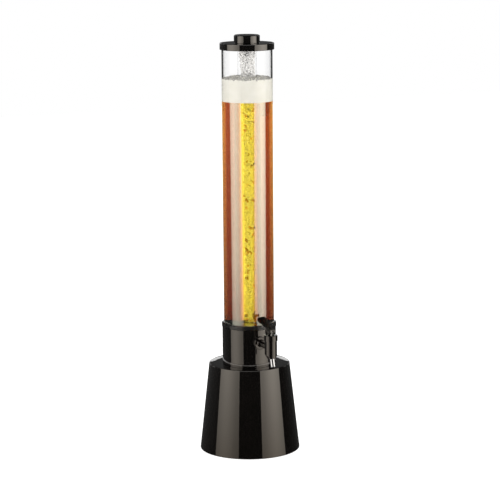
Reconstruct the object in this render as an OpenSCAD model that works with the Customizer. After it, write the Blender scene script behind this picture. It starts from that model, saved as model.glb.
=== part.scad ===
// Beer tower dispenser: a moulded stand, a tap collar, a clear tube with a lid,
// an ice tube that hangs in it, and a lever tap with a cam-lifted plunger.
// Millimetres. +Z is up, the tap points to -Y, and the origin is on the tube's
// axis in the plane that the tower stands on.

/* [Stand] */
// Height of the deck that carries the tower
stand_h = 176; // [150:1:200]
// Diameter of the rim at the foot
stand_foot_d = 200; // [180:1:230]
// Diameter of the deck at its edge
stand_deck_d = 162; // [145:1:175]
// Thickness of the moulded wall and deck
stand_wall = 3; // [2:0.5:4]
// Rounding of the deck's edge
stand_edge_r = 1.6; // [0.6:0.2:2.5]
// Number of ribs under the deck
stand_ribs = 8; // [4:4:12]
// Depth of a rib where it meets the wall
stand_rib_depth = 30; // [15:1:40]
// Thickness of a rib
stand_rib_t = 2.2; // [1.6:0.2:3]

/* [Rubber pads] */
// Diameter of a pad
pad_d = 14; // [10:1:16]
// Height of a pad
pad_h = 3; // [2.6:0.2:4]
// How far the pads stand out below the rim
pad_proud = 1; // [0.6:0.2:1.4]

/* [Collar] */
// Wall of the collar round the tube's socket
socket_wall = 3.35; // [2.5:0.05:6]
// Height of the collar above the deck
collar_h = 75; // [72:1:90]
// Wall of the collar round the beer chamber
collar_wall = 4; // [3:0.5:4]
// Height of the shadow groove at the collar's foot
groove_h = 2; // [1:0.5:4]
// Depth of the shadow groove
groove_depth = 1.5; // [0.5:0.5:2]
// Depth of the socket that takes the tube
socket_depth = 10; // [8:1:12]
// Thickness of the ledge under the tube's gasket
ledge_t = 3; // [2:0.5:4]
// Depth of the beer chamber's floor below the tap's shank
floor_below_tap = 19.5; // [18:0.5:22]
// Thickness of the chamber floor
floor_t = 3; // [2:0.5:5]
// How far inside the beer chamber's wall the spigot lies that centres the collar
spigot_inset = 12; // [11:0.5:18]

/* [Screws] */
// Thread diameter of the screws that hold the collar to the deck
screw_d = 4; // [3:0.5:4.5]
// Length of a screw under its head
screw_l = 18; // [12:1:22]
// Diameter of a screw's pan head
screw_head_d = 8; // [7:0.5:9]
// Height of a screw's head
screw_head_h = 2.6; // [2:0.2:3.2]
// How far inside the beer chamber's wall the screws stand
screw_inset = 4.8; // [4.7:0.1:6]

/* [Tube] */
// Outside diameter of the clear tube
tube_d = 100; // [98:0.5:100]
// Wall of the clear tube
tube_wall = 3; // [2:0.5:4]
// Height of the tube that shows between the collar and the lid
tube_show = 551; // [300:1:700]
// How far the clear ring at the tube's foot stands out from the tube
ring_w = 4.5; // [3:0.25:6]
// Height of the clear ring
ring_h = 8; // [5:0.5:12]
// Thickness of the gasket under the tube
gasket_t = 1.5; // [1:0.5:2.5]

/* [Lid] */
// Wall of the lid round the outside of the tube
lid_rim = 3.25; // [2:0.25:6]
// Height of the lid
lid_h = 13; // [11:0.5:18]
// Thickness of the lid's top
lid_t = 3; // [2:0.5:4]
// Wall of the lid's skirt behind its seal
lid_skirt = 1; // [0.8:0.1:2]
// Cord diameter of the lid's seal
lid_seal_d = 2.4; // [2:0.2:3]

/* [Ice tube] */
// Outside diameter of the ice tube
ice_d = 37.5; // [30:0.5:40]
// Wall of the ice tube
ice_wall = 2; // [1.5:0.5:3]
// Height of the ice tube's end above the collar floor
ice_end_above_floor = 40; // [36:1:60]
// Height of the neck ring above the lid
neck_h = 11; // [9:0.5:12]
// Wall of the neck ring
neck_wall = 2; // [1.6:0.2:3]
// How far the flange that hangs the ice tube reaches over the lid
neck_flange_w = 2.2; // [1.4:0.1:4]
// Thickness of that flange
neck_flange_t = 2.5; // [2:0.5:3]
// Wall of the ice tube's cap round that flange
cap_wall = 2.5; // [2:0.25:5]
// Height of the ice tube's cap
cap_h = 15.2; // [15:0.2:20]
// Rounding of the cap's top edge
cap_edge_r = 2.4; // [1:0.2:3]

/* [Tap] */
// Depth of the tap's shank below the collar's top
tap_below_top = 25.5; // [25:0.5:32]
// Distance of the tap's barrel from the collar
tap_reach = 54.5; // [48:0.5:64]
// Diameter of the threaded shank
shank_d = 15.8; // [14:0.2:16]
// Bore through the shank
shank_bore = 8; // [6:0.5:9]
// Diameter of the tap's flange and washers
flange_d = 25.6; // [24:0.2:27]
// Diameter of the arm from the flange to the barrel
arm_d = 12.6; // [11:0.2:14]
// Outside diameter of the barrel
barrel_d = 24.4; // [23:0.2:26]
// Bore of the barrel, in which the plunger slides
barrel_bore = 16; // [15:0.5:17]
// How far the barrel's straight part reaches below the shank's axis
barrel_drop = 7.7; // [7:0.1:10]
// Diameter of the barrel's screw cap
bonnet_d = 26.8; // [26:0.2:28]
// Height of the barrel's screw cap
bonnet_h = 11.4; // [10:0.2:13]
// Height of the screw cap's top above the shank's axis
bonnet_above_shank = 27; // [25:0.5:29]

/* [Spout] */
// Lean of the spout away from the tower, in degrees
spout_lean = 18; // [10:1:22]
// Distance of the spout's mouth in front of the barrel's axis
spout_forward = 10.5; // [9:0.5:12]
// Depth of the spout's mouth below the shank's axis
spout_drop = 35.5; // [34:0.5:38]
// Outside diameter of the bright sleeve on the spout
sleeve_d = 10; // [9:0.2:11]
// Length of that sleeve
sleeve_l = 15.5; // [12:0.5:16]
// Wall of the sleeve
sleeve_t = 0.7; // [0.5:0.1:1]
// Bore of the spout
spout_bore = 6.4; // [5:0.2:6.6]

/* [Lever] */
// Width of the lever's fork
fork_w = 10.8; // [10:0.2:13]
// Thickness of each cheek of the fork
cheek_t = 2.6; // [2:0.2:3]
// Distance from the pin to the fork's front face
fork_front = 9.6; // [9.4:0.1:12]
// Distance from the pin to the fork's back face
fork_back = 14.8; // [10:0.2:16]
// Length of the paddle behind the pin, up to its lip
paddle_l = 41.4; // [30:0.5:46]
// Width of the paddle at its lip
paddle_w = 20.4; // [16:0.2:26]
// Thickness of the paddle
paddle_t = 2.2; // [1.8:0.2:3]
// Slope of the paddle over the fork, in degrees
paddle_slope = 6; // [0:1:10]
// Rise that the paddle's curve adds by the lip
paddle_curve = 5.8; // [2:0.2:10]
// Radius of the turned-up lip
lip_r = 8; // [5:0.5:12]
// Turn of the lip, in degrees
lip_turn = 45; // [20:1:60]
// Height of the pin above the screw cap
pin_above_bonnet = 6; // [5.4:0.1:7]
// Diameter of the pin
pin_d = 3; // [2.4:0.2:3.4]
// Full pull of the lever, in degrees
lever_pull = 75; // [60:1:80]
// Lift of the plunger at full pull
plunger_lift = 3; // [2:0.1:3.4]

/* [Plunger] */
// Diameter of the plunger's stem
stem_d = 6; // [5:0.2:6.4]
// Thickness of the plunger's piston
piston_t = 5; // [4:0.5:6]
// Height of the valve seat above the spout's mouth
seat_above_mouth = 25; // [24:0.5:27]
// Hole of the valve seat
seat_hole = 7; // [6:0.5:7.5]
// Diameter of the rubber that closes the seat
valve_d = 13; // [11:0.5:14]
// Thickness of that rubber
valve_t = 3.5; // [3:0.5:4.5]
// Cord diameter of the piston's ring
piston_ring_d = 1.8; // [1.4:0.2:2]
// Wire of the closing spring
spring_wire = 1; // [0.8:0.1:1.2]
// Turns of the closing spring
spring_turns = 5; // [3:1:5]
// Outside diameter of the closing spring
spring_d = 11; // [10:0.5:12.5]

/* [Hidden] */

// Clearances
fit_gap = 0.15;        // tube in its socket and ring, spigot in the deck
slip_gap = 0.25;       // lid, neck ring and cap, which lift off by hand
bore_gap = 0.1;        // small round fits in the tap
pivot_gap = 0.06;      // pin in the plunger's eye
seat_gap = 0.1;        // rubber over its seat, cam over the screw cap
thread_gap = 0.1;      // nut and screws over their threads
smooth = 96;           // sides of the large rounds
fine = 48;             // sides of the small rounds
over = 1;              // reach of a cut past the face that it opens
black = [0.06, 0.06, 0.065];
clear = [0.85, 0.9, 0.92, 0.35];
silicone = [0.75, 0.76, 0.78];
steel = [0.7, 0.7, 0.72];

// Stand
rim_z = pad_proud;
deck_under = stand_h - stand_wall;
tube_bore_r = tube_d / 2 - tube_wall;
socket_r = tube_d / 2 + fit_gap;
collar_r = socket_r + socket_wall;
chamber_r = collar_r - collar_wall;
spigot_r = chamber_r - spigot_inset;
deck_hole_r = spigot_r + fit_gap;
hub_t = 2.5;
hub_depth = 12;
pad_places = 4;
pad_boss_r = pad_d / 2 + 2;
pad_boss_h = 24;
pad_circle_r = stand_foot_d / 2 - stand_wall - pad_boss_r + 0.5;
screw_places = 4;
screw_circle_r = chamber_r - screw_inset;
screw_pad_h = 4;

// Collar
collar_top = stand_h + collar_h;
gasket_z = collar_top - socket_depth;
ledge_z = gasket_z - ledge_t;
ledge_r = tube_bore_r - 0.5;
tap_z = collar_top - tap_below_top;
floor_z = tap_z - floor_below_tap;
floor_under = floor_z - floor_t;
floor_r = chamber_r - fit_gap / 3;
floor_skirt_h = 8;
spigot_t = 2.5;
web_t = 2.2;
screw_boss_r = screw_d / 2 + 2.5;
collar_edge = 0.6;

// Tube and lid
tube_z = gasket_z + gasket_t;
lid_z = collar_top + tube_show;
lid_top = lid_z + lid_h;
lid_roof = lid_top - lid_t;
tube_top = lid_roof - 0.5;
tube_l = tube_top - tube_z;
lid_r = tube_d / 2 + slip_gap + lid_rim;
lid_skirt_r = tube_bore_r - slip_gap - 0.25;
lid_seal_z = lid_z + 4.5;
lid_seal_r = tube_bore_r - fit_gap - lid_seal_d / 2;
lid_groove_r = lid_seal_r - lid_seal_d / 2 - bore_gap;
lid_skirt_in = lid_groove_r - lid_skirt;
lid_edge_r = 1.4;

// Ice tube
ice_r = ice_d / 2;
ice_z = floor_z + ice_end_above_floor;
ice_plug_t = 3;
neck_bore_r = ice_r + fit_gap / 3;
neck_r = neck_bore_r + neck_wall;
neck_spigot_r = neck_r - 0.5;
lid_hole_r = neck_spigot_r + slip_gap;
neck_flange_r = lid_hole_r + neck_flange_w;
neck_spigot_h = 7;
neck_top = lid_top + neck_h;
cap_z = lid_top + 0.3;
cap_gasket_t = 1;
cap_flange_r = neck_flange_r + slip_gap;
cap_r = cap_flange_r + cap_wall;
cap_bore_r = neck_r + slip_gap;
cap_roof = neck_top + cap_gasket_t;

// Tap, along -Y
tap_y = collar_r + tap_reach;
boss_proud = 0.5;
boss_r = flange_d / 2 + 0.6;
boss_face = collar_r + boss_proud;
inner_face = chamber_r - 2.3;
washer_t = 2;
nut_t = 6;
nut_af = shank_d + 6.2;
flange_t = 2.6;
flange_back = boss_face + washer_t;
flange_front = flange_back + flange_t;
shank_end = inner_face - washer_t - nut_t - 3;
thread_pitch = 2;
thread_depth = 0.6;
bonnet_top = tap_z + bonnet_above_shank;
bonnet_z = bonnet_top - bonnet_h;
bonnet_t = 3;
bonnet_wall = 2.6;
barrel_neck_r = bonnet_d / 2 - bonnet_wall - bore_gap;
barrel_top = bonnet_top - bonnet_t - bore_gap;
barrel_z = tap_z - barrel_drop;
mouth_y = tap_y + spout_forward;
mouth_z = tap_z - spout_drop;
seat_z = mouth_z + seat_above_mouth;
seat_lip_h = 0.8;
seat_lip_t = 1.1;

// Plunger
stem_r = stem_d / 2;
valve_z = seat_z + seat_lip_h + seat_gap;
piston_z = tap_z + shank_bore / 2 + 1.5;
piston_top = piston_z + piston_t;
piston_r = barrel_bore / 2 - 2 * bore_gap;
ring_r = piston_r + bore_gap - piston_ring_d / 2;
button_r = seat_hole / 2 - 0.6;
pin_z = bonnet_top + pin_above_bonnet;
tang_w = fork_w - 2 * cheek_t - 0.4;
tang_z = bonnet_top - plunger_lift - 0.5;
spring_rest = bonnet_top - bonnet_t - piston_top - 0.4;
spring_z = piston_top + 0.2;

// Lever, in the pin's own frame: forward is the way the tap points
cam_rise = plunger_lift / (lever_pull * PI / 180);
cam_base = pin_above_bonnet - seat_gap;
cam_step = 5;
plate_front_z = 5.8;
curve_steps = 14;
lip_steps = 6;
corner_r = 4;

function stand_r(z) = stand_foot_d / 2 + (stand_deck_d - stand_foot_d) / 2 * z / stand_h;
function arc(cx, cy, r, a0, a1, n) = [for (i = [0:n]) let (a = a0 + (a1 - a0) * i / n)
    [cx + r * cos(a), cy + r * sin(a)]];
function side(p, q) = [q[1] - p[1], p[0] - q[0]] / norm(q - p);

// A tube about Z between two heights
module ring(r_out, r_in, z0, z1, sides = smooth) {
    translate([0, 0, z0]) difference() {
        cylinder(r = r_out, h = z1 - z0, $fn = sides);
        translate([0, 0, -over]) cylinder(r = r_in, h = z1 - z0 + 2 * over, $fn = sides);
    }
}

// A cylinder that runs outward along the tap from y0 to y1
module along_tap(r, y0, y1, sides = fine) {
    translate([0, -y0, tap_z]) rotate([90, 0, 0]) cylinder(r = r, h = y1 - y0, $fn = sides);
}

module ring_along_tap(r_out, r_in, y0, y1) {
    difference() {
        along_tap(r_out, y0, y1);
        along_tap(r_in, y0 - over, y1 + over);
    }
}

// Children in the spout's frame: origin at its mouth, +Z up its leaning axis
module at_spout() {
    translate([0, -mouth_y, mouth_z]) rotate([-spout_lean, 0, 0]) children();
}

// Stand: an open cone with a ribbed deck and a cup for each rubber pad
module stand_wall_profile() {
    slope = atan((stand_foot_d - stand_deck_d) / 2 / stand_h);
    edge_x = stand_r(stand_h) - stand_edge_r * (1 / cos(slope) + tan(slope));
    polygon(concat(
        [[deck_hole_r, stand_h]],
        arc(edge_x, stand_h - stand_edge_r, stand_edge_r, 90, slope, 6),
        [[stand_r(rim_z + 0.5), rim_z + 0.5], [stand_r(rim_z) - 0.5, rim_z]],
        [[stand_r(rim_z) - stand_wall, rim_z], [stand_r(deck_under) - stand_wall, deck_under]],
        [[deck_hole_r + hub_t, deck_under], [deck_hole_r + hub_t, deck_under - hub_depth]],
        [[deck_hole_r, deck_under - hub_depth]]));
}

module deck_rib() {
    inner = deck_hole_r + hub_t / 2;
    low = deck_under - stand_rib_depth;
    rotate([90, 0, 0]) linear_extrude(stand_rib_t, center = true)
        polygon([[inner, deck_under + over], [stand_r(deck_under) - stand_wall / 2, deck_under + over],
            [stand_r(low) - stand_wall / 2, low], [stand_r(low) - stand_wall - 6, low],
            [inner, deck_under - hub_depth]]);
}

module at_pads() {
    for (i = [0:pad_places - 1]) rotate([0, 0, (i + 0.5) * 360 / pad_places])
        translate([pad_circle_r, 0, 0]) children();
}

module base_shell() {
    color(black) difference() {
        union() {
            rotate_extrude($fn = smooth) stand_wall_profile();
            for (i = [0:stand_ribs - 1]) rotate([0, 0, (i + 0.5) * 360 / stand_ribs]) deck_rib();
            at_pads() translate([0, 0, rim_z]) cylinder(r = pad_boss_r, h = pad_boss_h, $fn = fine);
            at_screws() translate([0, 0, deck_under - screw_pad_h])
                cylinder(r = screw_head_d / 2 + 1, h = screw_pad_h + over, $fn = fine);
        }
        at_pads() translate([0, 0, rim_z - over])
            cylinder(r = pad_d / 2 + fit_gap, h = pad_h - pad_proud + over, $fn = fine);
        at_screws() translate([0, 0, deck_under - screw_pad_h - over])
            cylinder(r = screw_d / 2 + 2 * fit_gap, h = stand_wall + screw_pad_h + 2 * over, $fn = fine);
    }
}

module rubber_pads() {
    color([0.12, 0.12, 0.12]) at_pads() cylinder(r = pad_d / 2, h = pad_h, $fn = fine);
}

// Collar: wall of the beer chamber with the tap's hole and the tube's socket
module collar() {
    color(black) difference() {
        union() {
            ring(collar_r - groove_depth, chamber_r, stand_h, stand_h + groove_h + over);
            ring(collar_r, chamber_r, stand_h + groove_h, ledge_z + over);
            ring(collar_r, ledge_r, ledge_z, gasket_z);
            ring(collar_r, socket_r, gasket_z - over, collar_top);
            along_tap(boss_r, inner_face, boss_face);
        }
        along_tap(shank_d / 2 + 2 * bore_gap, inner_face - over, boss_face + over);
        rotate_extrude($fn = smooth)
            polygon([[collar_r - collar_edge, collar_top + over], [collar_r - collar_edge, collar_top],
                [collar_r, collar_top - collar_edge], [collar_r + over, collar_top - collar_edge],
                [collar_r + over, collar_top + over]]);
    }
}

module at_screws() {
    for (i = [0:screw_places - 1]) rotate([0, 0, (i + 0.5) * 360 / screw_places])
        translate([screw_circle_r, 0, 0]) children();
}

// Floor of the beer chamber, cemented into the collar, with a spigot in the deck's hole
module collar_floor() {
    inner = spigot_r - spigot_t / 2;
    web_z = stand_h + groove_h;
    color(black) difference() {
        union() {
            translate([0, 0, floor_under]) cylinder(r = floor_r, h = floor_t, $fn = smooth);
            ring(floor_r, floor_r - spigot_t, floor_under - floor_skirt_h, floor_under + over);
            ring(spigot_r, spigot_r - spigot_t, deck_under, floor_under + over);
            at_screws() translate([0, 0, stand_h])
                cylinder(r = screw_boss_r, h = floor_under - stand_h + over, $fn = fine);
            for (i = [0:screw_places - 1]) rotate([0, 0, i * 360 / screw_places])
                translate([inner, -web_t / 2, web_z])
                    cube([floor_r - spigot_t / 2 - inner, web_t, floor_under + over - web_z]);
        }
        at_screws() translate([0, 0, stand_h - over])
            cylinder(r = screw_d / 2 + thread_gap, h = screw_l - stand_wall - screw_pad_h + 2 + over,
                $fn = fine);
    }
}

module collar_screws() {
    head_z = deck_under - screw_pad_h;
    color(steel) at_screws() difference() {
        union() {
            translate([0, 0, head_z - screw_head_h / 2])
                cylinder(r = screw_head_d / 2, h = screw_head_h / 2, $fn = fine);
            translate([0, 0, head_z - screw_head_h])
                cylinder(r1 = screw_head_d / 2 - 1, r2 = screw_head_d / 2, h = screw_head_h / 2, $fn = fine);
            translate([0, 0, head_z - over / 2])
                cylinder(r = screw_d / 2, h = screw_l - 2 + over / 2, $fn = fine);
            translate([0, 0, head_z + screw_l - 2])
                cylinder(r1 = screw_d / 2, r2 = screw_d / 2 - 1, h = 2, $fn = fine);
        }
        for (a = [0, 90]) rotate([0, 0, a]) translate([-2.2, -0.5, head_z - screw_head_h - over])
            cube([4.4, 1, 1.2 + over]);
    }
}

module tube_gasket() {
    color(silicone) ring(tube_d / 2, ledge_r + 0.2, gasket_z, tube_z);
}

module tower_tube() {
    color(clear) ring(tube_d / 2, tube_bore_r, tube_z, tube_top);
}

// Clear ring cemented round the tube, with rounded edges
module foot_ring() {
    r = tube_d / 2 + ring_w;
    soft = min(2, ring_h / 3);
    color(clear) rotate_extrude($fn = smooth) polygon(concat(
        [[socket_r - fit_gap * 2 / 3, collar_top]],
        arc(r - soft, collar_top + soft, soft, -90, 0, 6),
        arc(r - soft, collar_top + ring_h - soft, soft, 0, 90, 6),
        [[socket_r - fit_gap * 2 / 3, collar_top + ring_h]]));
}

// Tap body: threaded shank, flange, arm, barrel and leaning spout in one moulding
module thread_groove(y) {
    translate([0, -y, tap_z]) rotate([90, 0, 0]) rotate_extrude($fn = fine)
        polygon([[shank_d / 2 - thread_depth, 0], [shank_d / 2 + over, -thread_pitch * 0.8],
            [shank_d / 2 + over, thread_pitch * 0.8]]);
}

module spout_cone() {
    foot_r = sleeve_d / 2 + 2.5;
    grow = (barrel_d / 2 - foot_r + 1) / (barrel_z - mouth_z - sleeve_l);
    run = 2 * sleeve_l;
    intersection() {
        translate([0, -tap_y, mouth_z]) cylinder(r = barrel_d / 2, h = barrel_z - mouth_z + 2, $fn = fine);
        at_spout() translate([0, 0, sleeve_l])
            cylinder(r1 = foot_r, r2 = foot_r + grow * run, h = run, $fn = fine);
    }
}

module tap_body() {
    thread_from = shank_end + thread_pitch;
    thread_to = inner_face - thread_pitch;
    color(black) difference() {
        union() {
            along_tap(shank_d / 2, shank_end, flange_back + over);
            along_tap(flange_d / 2, flange_back, flange_front - 0.8);
            translate([0, -flange_front + 0.8, tap_z]) rotate([90, 0, 0])
                cylinder(r1 = flange_d / 2, r2 = flange_d / 2 - 0.8, h = 0.8, $fn = fine);
            along_tap(arm_d / 2, flange_front - over, tap_y);
            translate([0, -flange_front, tap_z]) rotate([90, 0, 0])
                cylinder(r1 = arm_d / 2 + 1.6, r2 = arm_d / 2, h = 1.6, $fn = fine);
            translate([0, -tap_y, barrel_z])
                cylinder(r = barrel_d / 2, h = bonnet_z - barrel_z, $fn = fine);
            translate([0, -tap_y, bonnet_z - over])
                cylinder(r = barrel_neck_r, h = barrel_top - bonnet_z + over, $fn = fine);
            spout_cone();
            at_spout() translate([0, 0, 1])
                cylinder(r = sleeve_d / 2 - sleeve_t - bore_gap / 2, h = sleeve_l + 2, $fn = fine);
        }
        translate([0, -tap_y, seat_z])
            cylinder(r = barrel_bore / 2, h = barrel_top - seat_z + over, $fn = fine);
        translate([0, -tap_y, seat_z - 4.5]) cylinder(r = seat_hole / 2, h = 5, $fn = fine);
        at_spout() translate([0, 0, -over])
            cylinder(r = spout_bore / 2, h = (seat_above_mouth - 3) / cos(spout_lean) + over, $fn = fine);
        along_tap(shank_bore / 2, shank_end - over, tap_y);
        for (y = [thread_from:thread_pitch:thread_to]) thread_groove(y);
    }
    color(black) translate([0, -tap_y, 0])
        ring(seat_hole / 2 + seat_lip_t, seat_hole / 2, seat_z - 0.5, seat_z + seat_lip_h, fine);
}

module outer_washer() {
    color(silicone) ring_along_tap(flange_d / 2, shank_d / 2 + bore_gap, boss_face, flange_back);
}

module inner_washer() {
    color(silicone)
        ring_along_tap(flange_d / 2 - 1.2, shank_d / 2 + bore_gap, inner_face - washer_t, inner_face);
}

module tap_nut() {
    nut_r = nut_af / 2 / cos(30);
    color(black) difference() {
        intersection() {
            along_tap(nut_r, inner_face - washer_t - nut_t, inner_face - washer_t, 6);
            translate([0, -inner_face + washer_t, tap_z]) rotate([-90, 0, 0])
                cylinder(r1 = nut_r, r2 = nut_r - 0.9, h = nut_t, $fn = fine);
        }
        along_tap(shank_d / 2 + thread_gap, inner_face - washer_t - nut_t - over,
            inner_face - washer_t + over);
    }
}

module tap_bonnet() {
    color(black) translate([0, -tap_y, 0]) difference() {
        union() {
            translate([0, 0, bonnet_z]) cylinder(r = bonnet_d / 2, h = bonnet_h - 0.6, $fn = fine);
            translate([0, 0, bonnet_top - 0.6])
                cylinder(r1 = bonnet_d / 2, r2 = bonnet_d / 2 - 0.6, h = 0.6, $fn = fine);
        }
        translate([0, 0, bonnet_z - over])
            cylinder(r = barrel_neck_r + bore_gap, h = bonnet_h - bonnet_t + over, $fn = fine);
        translate([0, 0, bonnet_z]) cylinder(r = stem_r + bore_gap, h = bonnet_h + over, $fn = fine);
    }
}

module spout_sleeve() {
    lip = 0.5;
    color([0.85, 0.86, 0.88]) at_spout() difference() {
        union() {
            cylinder(r = sleeve_d / 2, h = sleeve_l, $fn = fine);
            rotate_extrude($fn = fine) translate([sleeve_d / 2 - lip / 2, lip]) circle(r = lip, $fn = 16);
        }
        translate([0, 0, -over])
            cylinder(r = sleeve_d / 2 - sleeve_t, h = sleeve_l + 2 * over, $fn = fine);
    }
}

// Plunger: button, stem, grooved piston and a flat tang with the pin's eye
module plunger_stem() {
    color([0.85, 0.85, 0.83]) translate([0, -tap_y, 0]) difference() {
        union() {
            translate([0, 0, valve_z - 1.4])
                cylinder(r1 = button_r - 0.8, r2 = button_r, h = 1.2, $fn = fine);
            translate([0, 0, valve_z - 0.2]) cylinder(r = stem_r - 1, h = valve_t + over, $fn = fine);
            translate([0, 0, valve_z + valve_t])
                cylinder(r = stem_r, h = tang_z - valve_z - valve_t, $fn = fine);
            translate([0, 0, piston_z]) cylinder(r = piston_r, h = piston_t, $fn = fine);
            intersection() {
                union() {
                    translate([0, 0, tang_z - over])
                        cylinder(r = stem_r, h = pin_z - tang_z + over, $fn = fine);
                    translate([0, 0, pin_z]) rotate([0, 90, 0])
                        cylinder(r = stem_r, h = stem_d, center = true, $fn = fine);
                }
                translate([-tang_w / 2, -stem_d, tang_z - 2 * over])
                    cube([tang_w, 2 * stem_d, 2 * stem_d + pin_z - tang_z]);
            }
        }
        translate([-stem_d, 0, pin_z]) rotate([0, 90, 0])
            cylinder(r = pin_d / 2 + pivot_gap, h = 2 * stem_d, $fn = fine);
        ring(piston_r + over, ring_r - piston_ring_d / 2 - 0.1,
            piston_z + piston_t / 2 - piston_ring_d / 2 - 0.15,
            piston_z + piston_t / 2 + piston_ring_d / 2 + 0.15, fine);
    }
}

module piston_ring() {
    color([0.2, 0.2, 0.2]) translate([0, -tap_y, piston_z + piston_t / 2])
        rotate_extrude($fn = fine) translate([ring_r, 0]) circle(r = piston_ring_d / 2, $fn = 24);
}

module valve_rubber() {
    r = valve_d / 2;
    color(silicone) translate([0, -tap_y, valve_z]) rotate_extrude($fn = fine)
        polygon([[stem_r - 1 + 0.05, 0], [r - 1.2, 0], [r, 1.2], [r, valve_t - 1],
            [stem_r + 1.2, valve_t - 0.05], [stem_r - 1 + 0.05, valve_t - 0.05]]);
}

// Closing spring: one unbroken winding of the wire, close-wound at both ends
spring_rings = 8;
spring_sides = 6;
spring_mean = (spring_d - spring_wire) / 2;
spring_end_pitch = spring_wire + 0.5;
spring_total = spring_turns + 1.5;
spring_travel = spring_rest - spring_wire;

// Height of the wire's centre after t turns: gentle at the ends, even between them
function spring_rise(t) =
    let (mid = (spring_travel - 1.5 * spring_end_pitch) / spring_turns)
    t < 0.75 ? t * spring_end_pitch
    : t > spring_total - 0.75 ? spring_travel - (spring_total - t) * spring_end_pitch
    : 0.75 * spring_end_pitch + (t - 0.75) * mid;
function spring_at(t) = [spring_mean * cos(360 * t), spring_mean * sin(360 * t), spring_rise(t)];

module plunger_spring() {
    n = round(spring_total * spring_rings);
    step = 1 / spring_rings;
    points = [for (i = [0:n]) let (
            c = spring_at(i * step),
            out = [cos(360 * i * step), sin(360 * i * step), 0])
        for (k = [0:spring_sides - 1]) let (a = 360 * k / spring_sides)
            c + spring_wire / 2 * (cos(a) * out + sin(a) * [0, 0, 1])];
    skin = [for (i = [0:n - 1], k = [0:spring_sides - 1]) let (
            a = i * spring_sides + k,
            b = i * spring_sides + (k + 1) % spring_sides)
        each [[a, a + spring_sides, b], [b, a + spring_sides, b + spring_sides]]];
    ends = [[for (k = [0:spring_sides - 1]) k],
        [for (k = [spring_sides - 1:-1:0]) n * spring_sides + k]];
    color(steel) translate([0, -tap_y, spring_z + spring_wire / 2])
        polyhedron(points = points, faces = concat(ends, skin), convexity = 6);
}
spring_gap = min([for (i = [0:round((spring_total - 1) * spring_rings)])
    norm(spring_at((i + spring_rings) / spring_rings) - spring_at(i / spring_rings))]) - spring_wire;
echo(spring_least_gap = spring_gap);

// Lever: a curved paddle with a turned-up lip over a fork whose cheeks are the cam
function plate_top(y) = let (s = fork_front - y, run = fork_front + paddle_l)
    plate_front_z + s * tan(paddle_slope) + paddle_curve * pow(s / run, 2);
function plate_grade(y) = let (s = fork_front - y, run = fork_front + paddle_l)
    atan(tan(paddle_slope) + 2 * paddle_curve * s / run / run);

// Top line of the paddle from the fork's front to the lip's tip, as [forward, up]
function paddle_line() = let (g = plate_grade(-paddle_l)) concat(
    [for (i = [0:curve_steps]) let (y = fork_front - (fork_front + paddle_l) * i / curve_steps)
        [y, plate_top(y)]],
    [for (i = [1:lip_steps]) let (a = lip_turn * i / lip_steps)
        [-paddle_l - lip_r * (sin(g + a) - sin(g)), plate_top(-paddle_l) + lip_r * (cos(g) - cos(g + a))]]);

module paddle_side() {
    top = paddle_line();
    n = len(top) - 1;
    under = [for (i = [n:-1:0]) let (
            p = top[max(i - 1, 0)], q = top[min(i + 1, n)])
        top[i] - paddle_t * side(p, q)];
    polygon(concat(top, under));
}

module paddle_plan() {
    tip = paddle_l + lip_r;
    w = paddle_w / 2;
    f = fork_w / 2;
    half = concat(
        [[fork_front, 0], [fork_front, f - 0.6], [fork_front - 0.6, f], [-fork_back * 0.6, f]],
        [for (i = [1:6]) let (t = i / 7, s = t * t * (3 - 2 * t))
            [-fork_back * 0.6 - (paddle_l - fork_back * 0.6) * t, f + (w - f) * s]],
        [[-paddle_l, w]],
        arc(-tip_back() + corner_r, w - corner_r, corner_r, 90, 180, 5));
    polygon(concat(half, [for (i = [len(half) - 1:-1:1]) [half[i][0], -half[i][1]]]));
}
function tip_back() = let (line = paddle_line()) -line[len(line) - 1][0] + 0.01;

// Side of a cheek: its foot rolls on the screw cap and lifts the pin in step with the turn
module cheek_side() {
    roof = paddle_t / 2;
    cam = [for (a = [0:cam_step:lever_pull + 3 * cam_step]) let (h = cam_base + cam_rise * a * PI / 180)
        [h * sin(a) + cam_rise * cos(a), -h * cos(a) + cam_rise * sin(a)]];
    tip = cam[len(cam) - 1];
    polygon(concat(
        [[-fork_back + 1, -cam_base]],
        cam,
        [[max(fork_front, tip[0]), tip[1] + 1], [fork_front, plate_top(fork_front) - roof]],
        [[0, plate_top(0) - roof], [-fork_back, plate_top(-fork_back) - roof]],
        [[-fork_back, -cam_base + 1]]));
}

module in_pin_frame() {
    translate([0, -tap_y, pin_z]) rotate([0, 0, -90]) children();
}

module lever() {
    color(black) difference() {
        in_pin_frame() union() {
            intersection() {
                rotate([90, 0, 0]) linear_extrude(paddle_w + 2, center = true) paddle_side();
                translate([0, 0, -2 * lip_r]) linear_extrude(6 * lip_r) paddle_plan();
            }
            for (s = [-1, 1]) translate([0, s * (fork_w - cheek_t) / 2, 0])
                rotate([90, 0, 0]) linear_extrude(cheek_t, center = true) cheek_side();
            translate([-fork_back, -fork_w / 2 + cheek_t / 2, -cam_base + 2.5])
                cube([2, fork_w - cheek_t, plate_top(-fork_back) + cam_base - 2.5 - paddle_t / 2]);
        }
        translate([-fork_w, -tap_y, pin_z]) rotate([0, 90, 0])
            cylinder(r = pin_d / 2 + 0.02, h = 2 * fork_w, $fn = fine);
    }
}

module lever_pin() {
    color(steel) translate([-fork_w / 2 + 0.2, -tap_y, pin_z]) rotate([0, 90, 0])
        cylinder(r = pin_d / 2, h = fork_w - 0.4, $fn = fine);
}

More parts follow.
